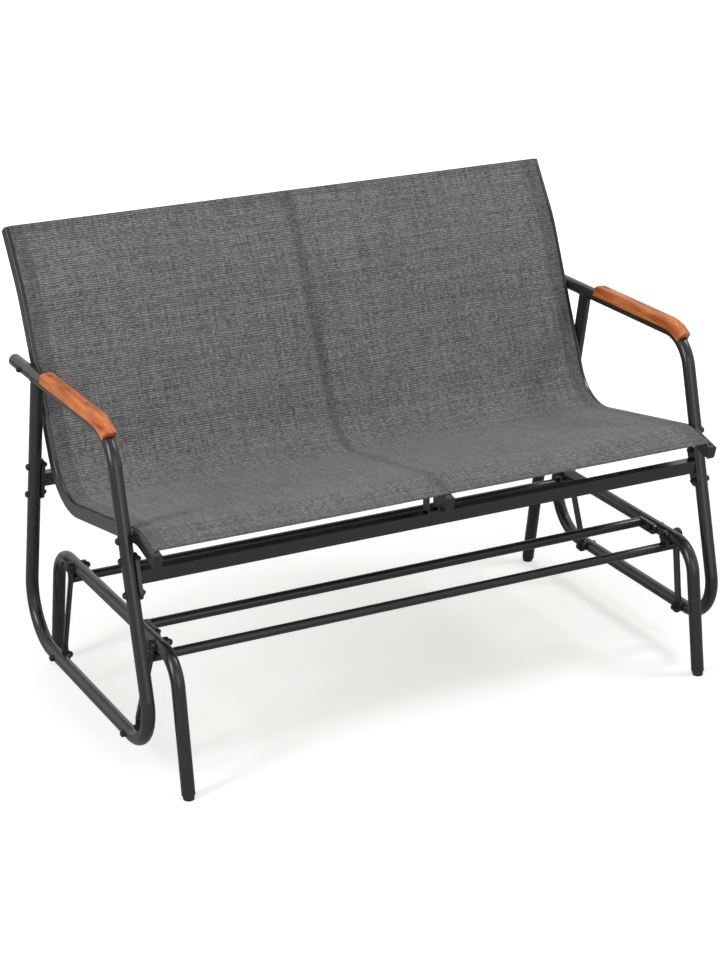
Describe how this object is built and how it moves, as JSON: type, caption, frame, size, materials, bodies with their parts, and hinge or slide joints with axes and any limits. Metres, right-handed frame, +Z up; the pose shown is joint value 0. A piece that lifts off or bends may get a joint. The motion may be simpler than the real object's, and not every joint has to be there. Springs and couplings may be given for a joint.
{
  "type": "glider bench",
  "caption": "Garden glider bench: sling seat and back on tubular side frames that hang from a low stand on swing links, with wooden armrests.",
  "frame": {"origin": "on the floor, under the middle of the bench's overall width and depth", "axes": "+X along the bench, to the right as seen from the front; +Y from the front to the back; +Z up"},
  "size_m": [1.232, 0.7396, 0.872],
  "materials": {
    "frame_paint": "satin powder coat",
    "hardware_black": "black oxide",
    "plastic_black": "moulded matt",
    "rod_plastic": "extruded rod",
    "sling_fabric": "woven, matt",
    "grip_wood": "oiled"
  },
  "bodies": {
    "stand": {"stand_side_left": "frame_paint", "stand_side_right": "frame_paint", "crossbar_front": "frame_paint", "crossbar_rear": "frame_paint", "crossbar_middle": "frame_paint", "foot_plugs": "plastic_black", "upper_pivot_bolts": "hardware_black", "upper_pivot_nuts": "hardware_black", "upper_pivot_spacers": "hardware_black", "crossbar_bolts": "hardware_black", "crossbar_nuts": "hardware_black"},
    "link_front_left": {"link_front_left": "frame_paint", "bushings_front_left": "plastic_black"},
    "link_front_right": {"link_front_right": "frame_paint", "bushings_front_right": "plastic_black"},
    "link_rear_left": {"link_rear_left": "frame_paint", "bushings_rear_left": "plastic_black"},
    "link_rear_right": {"link_rear_right": "frame_paint", "bushings_rear_right": "plastic_black"},
    "seat": {"swing_frame_left": "frame_paint", "swing_frame_right": "frame_paint", "arm_end_plugs": "plastic_black", "armrest_left": "grip_wood", "armrest_right": "grip_wood", "armrest_screws": "hardware_black", "seat_rail_left": "frame_paint", "seat_rail_right": "frame_paint", "seat_rail_centre": "frame_paint", "rail_front_caps": "plastic_black", "rail_top_caps": "plastic_black", "beam_front": "frame_paint", "beam_rear": "frame_paint", "centre_bracket_front": "frame_paint", "centre_bracket_rear": "frame_paint", "bracket_bolts": "hardware_black", "bracket_nuts": "hardware_black", "back_spreader": "frame_paint", "spreader_screws": "hardware_black", "sling": "sling_fabric", "sling_rods": "rod_plastic", "lower_pivot_bolts": "hardware_black", "lower_pivot_nuts": "hardware_black", "lower_pivot_spacers": "hardware_black", "frame_bolts": "hardware_black", "frame_nuts": "hardware_black", "frame_saddles": "plastic_black"}
  },
  "joints": [
    {"name": "link_front_left_swing", "type": "hinge", "parent": "stand", "child": "link_front_left", "pos_m": [0, -0.24427, 0.253], "axis": [1, 0, 0], "range_deg": [-12, 12]},
    {"name": "link_front_right_swing", "type": "hinge", "parent": "stand", "child": "link_front_right", "pos_m": [0, -0.24427, 0.253], "axis": [1, 0, 0], "range_deg": [-12, 12]},
    {"name": "link_rear_left_swing", "type": "hinge", "parent": "stand", "child": "link_rear_left", "pos_m": [0, 0.14473, 0.253], "axis": [1, 0, 0], "range_deg": [-12, 12]},
    {"name": "link_rear_right_swing", "type": "hinge", "parent": "stand", "child": "link_rear_right", "pos_m": [0, 0.14473, 0.253], "axis": [1, 0, 0], "range_deg": [-12, 12]},
    {"name": "seat_swing", "type": "hinge", "parent": "link_front_left", "child": "seat", "pos_m": [0, -0.22527, 0.084], "axis": [1, 0, 0], "range_deg": [-13.4, 13.4]}
  ],
  "couplings": [
    {"joint": "link_front_right_swing", "follows": "link_front_left_swing", "ratio": 1},
    {"joint": "link_rear_left_swing", "follows": "link_front_left_swing", "ratio": 1},
    {"joint": "link_rear_right_swing", "follows": "link_front_left_swing", "ratio": 1},
    {"joint": "seat_swing", "follows": "link_front_left_swing", "ratio": -1.107}
  ]
}
